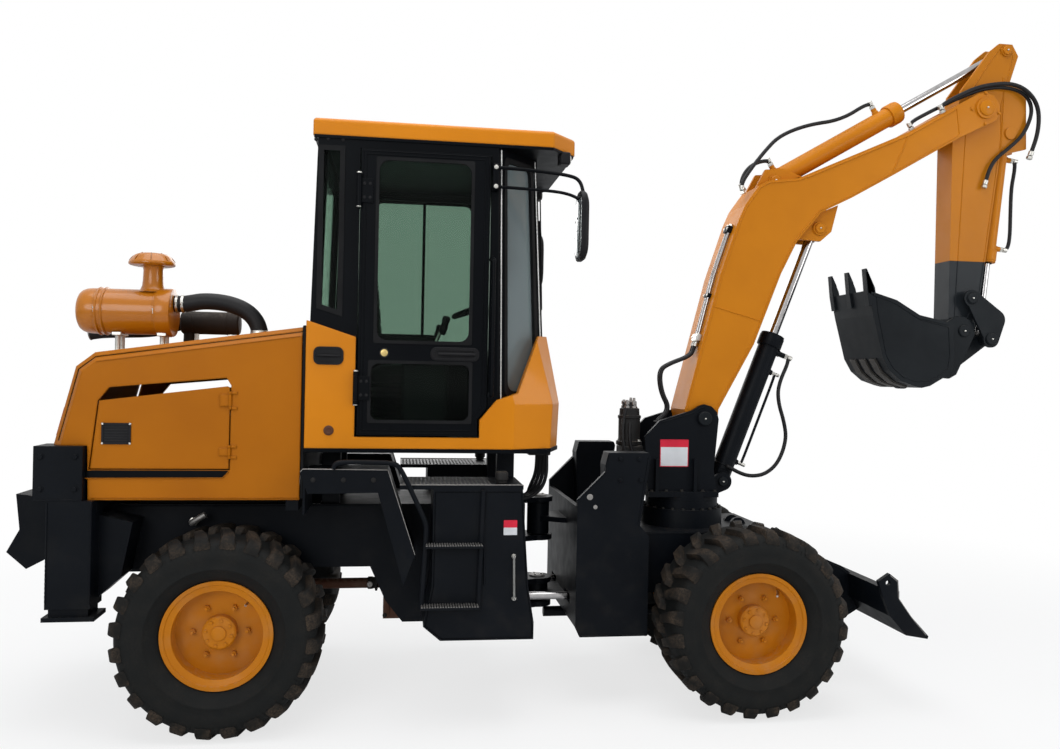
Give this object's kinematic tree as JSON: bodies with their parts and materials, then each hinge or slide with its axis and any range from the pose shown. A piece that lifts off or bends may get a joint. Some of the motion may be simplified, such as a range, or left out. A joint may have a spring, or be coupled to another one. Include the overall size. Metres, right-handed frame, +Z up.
{
  "type": "wheeled excavator",
  "caption": "Hinged-chassis wheeled excavator with a slewing digging arm and levelling blade in front and a cab and bonnet behind.",
  "frame": {"origin": "ground level, under the middle of the whole length and width", "axes": "+X forward, towards the digging arm; +Y to the machine's left; +Z up"},
  "size_m": [5.6202, 1.55, 3.7679],
  "materials": {
    "tyre_rubber": "matte",
    "rim_paint": "gloss",
    "yellow_paint": "gloss",
    "bonnet_paint": "gloss",
    "boom_paint": "gloss",
    "dark_paint": "satin",
    "bucket_steel": "satin",
    "cast": "matte",
    "chromed_rod": "polished",
    "cab_glazing": "tinted",
    "black_trim": "matte",
    "lamp_lens": "gloss",
    "hose_rubber": "matte"
  },
  "bodies": {
    "chassis": {"rear_frame": "dark_paint", "rear_axle": "dark_paint", "rear_ballast": "dark_paint", "driveline": "cast", "engine": "cast", "bonnet": "bonnet_paint", "air_cleaner": "bonnet_paint", "intake_pipe": "black_trim", "exhaust": "cast", "tail_lamps": "lamp_lens", "cab_frame": "dark_paint", "cab_panels": "yellow_paint", "cab_roof": "yellow_paint", "cab_glass": "cab_glazing", "seat": "black_trim", "controls": "black_trim", "mirrors_and_rails": "black_trim", "side_tanks": "dark_paint", "mudguards": "dark_paint", "steps": "dark_paint"},
    "front_chassis": {"front_frame": "dark_paint", "front_axle": "dark_paint"},
    "right_door_leaf": {"right_door": "dark_paint", "right_door_glass": "cab_glazing"},
    "left_bonnet_cover": {"left_bonnet_door": "bonnet_paint"},
    "right_bonnet_cover": {"right_bonnet_door": "bonnet_paint"},
    "left_outrigger_leg": {"left_outrigger": "dark_paint"},
    "right_outrigger_leg": {"right_outrigger": "dark_paint"},
    "slewing_turret": {"turret": "dark_paint", "slew_motor": "cast"},
    "boom_arm": {"boom": "boom_paint", "boom_hoses": "hose_rubber"},
    "boom_ram_tube": {"boom_ram_barrel": "dark_paint", "boom_ram_hoses": "hose_rubber"},
    "boom_ram_bar": {"boom_ram_rod": "chromed_rod"},
    "stick_arm": {"stick": "boom_paint"},
    "stick_ram_tube": {"stick_ram_barrel": "boom_paint", "stick_ram_hoses": "hose_rubber"},
    "stick_ram_bar": {"stick_ram_rod": "chromed_rod"},
    "bucket_ram_tube": {"bucket_ram_barrel": "boom_paint", "bucket_ram_hose": "hose_rubber"},
    "bucket_ram_bar": {"bucket_ram_rod": "chromed_rod"},
    "rocker": {"bucket_rocker": "bucket_steel"},
    "bucket_shell": {"bucket": "bucket_steel"},
    "bucket_tie": {"bucket_link": "bucket_steel"},
    "blade_board": {"blade": "dark_paint"},
    "blade_ram_tube": {"blade_ram_barrel": "dark_paint"},
    "blade_ram_bar": {"blade_ram_rod": "chromed_rod"},
    "left_steering_tube": {"left_steering_barrel": "dark_paint"},
    "left_steering_bar": {"left_steering_rod": "chromed_rod"},
    "right_steering_tube": {"right_steering_barrel": "dark_paint"},
    "right_steering_bar": {"right_steering_rod": "chromed_rod"},
    "front_left_wheel": {"front_left_tyre": "tyre_rubber", "front_left_rim": "rim_paint"},
    "front_right_wheel": {"front_right_tyre": "tyre_rubber", "front_right_rim": "rim_paint"},
    "rear_left_wheel": {"rear_left_tyre": "tyre_rubber", "rear_left_rim": "rim_paint"},
    "rear_right_wheel": {"rear_right_tyre": "tyre_rubber", "rear_right_rim": "rim_paint"}
  },
  "joints": [
    {"name": "rear_left_wheel_spin", "type": "hinge", "parent": "chassis", "child": "rear_left_wheel", "pos_m": [-1.818, 0.546, 0.4825], "axis": [0, 1, 0], "continuous": true},
    {"name": "rear_right_wheel_spin", "type": "hinge", "parent": "chassis", "child": "rear_right_wheel", "pos_m": [-1.818, -0.546, 0.4825], "axis": [0, 1, 0], "continuous": true},
    {"name": "front_left_wheel_spin", "type": "hinge", "parent": "front_chassis", "child": "front_left_wheel", "pos_m": [0.814, 0.546, 0.4825], "axis": [0, 1, 0], "continuous": true},
    {"name": "front_right_wheel_spin", "type": "hinge", "parent": "front_chassis", "child": "front_right_wheel", "pos_m": [0.814, -0.546, 0.4825], "axis": [0, 1, 0], "continuous": true},
    {"name": "steer", "type": "hinge", "parent": "chassis", "child": "front_chassis", "pos_m": [-0.218, 0, 0.525], "axis": [0, 0, 1], "range_deg": [-30, 30]},
    {"name": "slew", "type": "hinge", "parent": "front_chassis", "child": "slewing_turret", "pos_m": [0.618, 0, 1.033], "axis": [0, 0, 1], "range_deg": [-90, 90]},
    {"name": "boom_lift", "type": "hinge", "parent": "slewing_turret", "child": "boom_arm", "pos_m": [0.692, 0, 1.493], "axis": [0, -1, 0], "range_deg": [-45, 10]},
    {"name": "stick_swing", "type": "hinge", "parent": "boom_arm", "child": "stick_arm", "pos_m": [2.404, 0, 3.353], "axis": [0, -1, 0], "range_deg": [-8, 80]},
    {"name": "bucket_curl", "type": "hinge", "parent": "stick_arm", "child": "bucket_shell", "pos_m": [2.307, 0, 2.03], "axis": [0, -1, 0], "range_deg": [-5, 115]},
    {"name": "boom_ram_tilt", "type": "hinge", "parent": "slewing_turret", "child": "boom_ram_tube", "pos_m": [0.837, 0, 1.13], "axis": [0, -1, 0], "range_deg": [-39.7, 9.6]},
    {"name": "boom_ram_stroke", "type": "slide", "parent": "boom_ram_tube", "child": "boom_ram_bar", "axis": [0.3535, 0, 0.9354], "range_m": [-0.2533, 0.0579]},
    {"name": "stick_ram_tilt", "type": "hinge", "parent": "boom_arm", "child": "stick_ram_tube", "pos_m": [1.116, 0, 2.868], "axis": [0, -1, 0], "range_deg": [-1.72, 8.2]},
    {"name": "stick_ram_stroke", "type": "slide", "parent": "stick_ram_tube", "child": "stick_ram_bar", "axis": [0.8612, 0, 0.5082], "range_m": [-0.4977, 0.0516]},
    {"name": "rocker_swing", "type": "hinge", "parent": "stick_arm", "child": "rocker", "pos_m": [2.341, 0, 2.224], "axis": [0, -1, 0], "range_deg": [-4.93, 91.28]},
    {"name": "bucket_ram_tilt", "type": "hinge", "parent": "stick_arm", "child": "bucket_ram_tube", "pos_m": [2.607, 0, 3.23], "axis": [0, -1, 0], "range_deg": [-1.23, 6.17]},
    {"name": "bucket_ram_stroke", "type": "slide", "parent": "bucket_ram_tube", "child": "bucket_ram_bar", "axis": [-0.1102, 0, -0.9939], "range_m": [-0.3733, 0.0181]},
    {"name": "bucket_tie_turn", "type": "hinge", "parent": "bucket_shell", "child": "bucket_tie", "pos_m": [2.217, 0, 1.8], "axis": [0, -1, 0], "range_deg": [-66.55, 3.85]},
    {"name": "blade_lift", "type": "hinge", "parent": "front_chassis", "child": "blade_board", "pos_m": [1.042, 0, 0.44], "axis": [0, -1, 0], "range_deg": [-33, 6]},
    {"name": "blade_ram_tilt", "type": "hinge", "parent": "front_chassis", "child": "blade_ram_tube", "pos_m": [0.942, 0, 0.8], "axis": [0, -1, 0], "range_deg": [-16.97, 3.9]},
    {"name": "blade_ram_stroke", "type": "slide", "parent": "blade_ram_tube", "child": "blade_ram_bar", "axis": [0.8779, 0, -0.4789], "range_m": [-0.0264, 0.1362]},
    {"name": "left_steering_ram_tilt", "type": "hinge", "parent": "chassis", "child": "left_steering_tube", "pos_m": [-0.768, 0.19, 0.525], "axis": [0, 0, 1], "range_deg": [-8.65, 8.65]},
    {"name": "left_steering_ram_stroke", "type": "slide", "parent": "left_steering_tube", "child": "left_steering_bar", "axis": [0.9996, 0.027, 0], "range_m": [-0.1071, 0.1071]},
    {"name": "right_steering_ram_tilt", "type": "hinge", "parent": "chassis", "child": "right_steering_tube", "pos_m": [-0.768, -0.19, 0.525], "axis": [0, 0, 1], "range_deg": [-8.65, 8.65]},
    {"name": "right_steering_ram_stroke", "type": "slide", "parent": "right_steering_tube", "child": "right_steering_bar", "axis": [0.9996, -0.027, 0], "range_m": [-0.1071, 0.1071]},
    {"name": "right_door_swing", "type": "hinge", "parent": "chassis", "child": "right_door_leaf", "pos_m": [-1.215, -0.6, 2.1], "axis": [0, 0, -1], "range_deg": [0, 85]},
    {"name": "left_bonnet_door_swing", "type": "hinge", "parent": "chassis", "child": "left_bonnet_cover", "pos_m": [-1.801, 0.568, 1.44], "axis": [0, 0, -1], "range_deg": [0, 100]},
    {"name": "right_bonnet_door_swing", "type": "hinge", "parent": "chassis", "child": "right_bonnet_cover", "pos_m": [-1.801, -0.568, 1.44], "axis": [0, 0, 1], "range_deg": [0, 100]},
    {"name": "left_outrigger_drop", "type": "slide", "parent": "chassis", "child": "left_outrigger_leg", "axis": [0, 0, 1], "range_m": [-0.515, 0]},
    {"name": "right_outrigger_drop", "type": "slide", "parent": "chassis", "child": "right_outrigger_leg", "axis": [0, 0, 1], "range_m": [-0.515, 0]}
  ],
  "couplings": [
    {"joint": "boom_ram_tilt", "follows": "boom_lift", "ratio": 0.86},
    {"joint": "boom_ram_stroke", "follows": "boom_lift", "m_per_rad": 0.32},
    {"joint": "stick_ram_tilt", "follows": "stick_swing", "ratio": 0.09},
    {"joint": "stick_ram_stroke", "follows": "stick_swing", "m_per_rad": -0.355},
    {"joint": "rocker_swing", "follows": "bucket_curl", "ratio": 0.785},
    {"joint": "bucket_ram_tilt", "follows": "bucket_curl", "ratio": 0.045},
    {"joint": "bucket_ram_stroke", "follows": "bucket_curl", "m_per_rad": -0.185},
    {"joint": "bucket_tie_turn", "follows": "bucket_curl", "ratio": -0.57},
    {"joint": "blade_ram_tilt", "follows": "blade_lift", "ratio": 0.484},
    {"joint": "blade_ram_stroke", "follows": "blade_lift", "m_per_rad": -0.233},
    {"joint": "left_steering_ram_tilt", "follows": "steer", "ratio": 0.255},
    {"joint": "left_steering_ram_stroke", "follows": "steer", "m_per_rad": -0.2008},
    {"joint": "right_steering_ram_tilt", "follows": "steer", "ratio": 0.255},
    {"joint": "right_steering_ram_stroke", "follows": "steer", "m_per_rad": 0.2008}
  ]
}
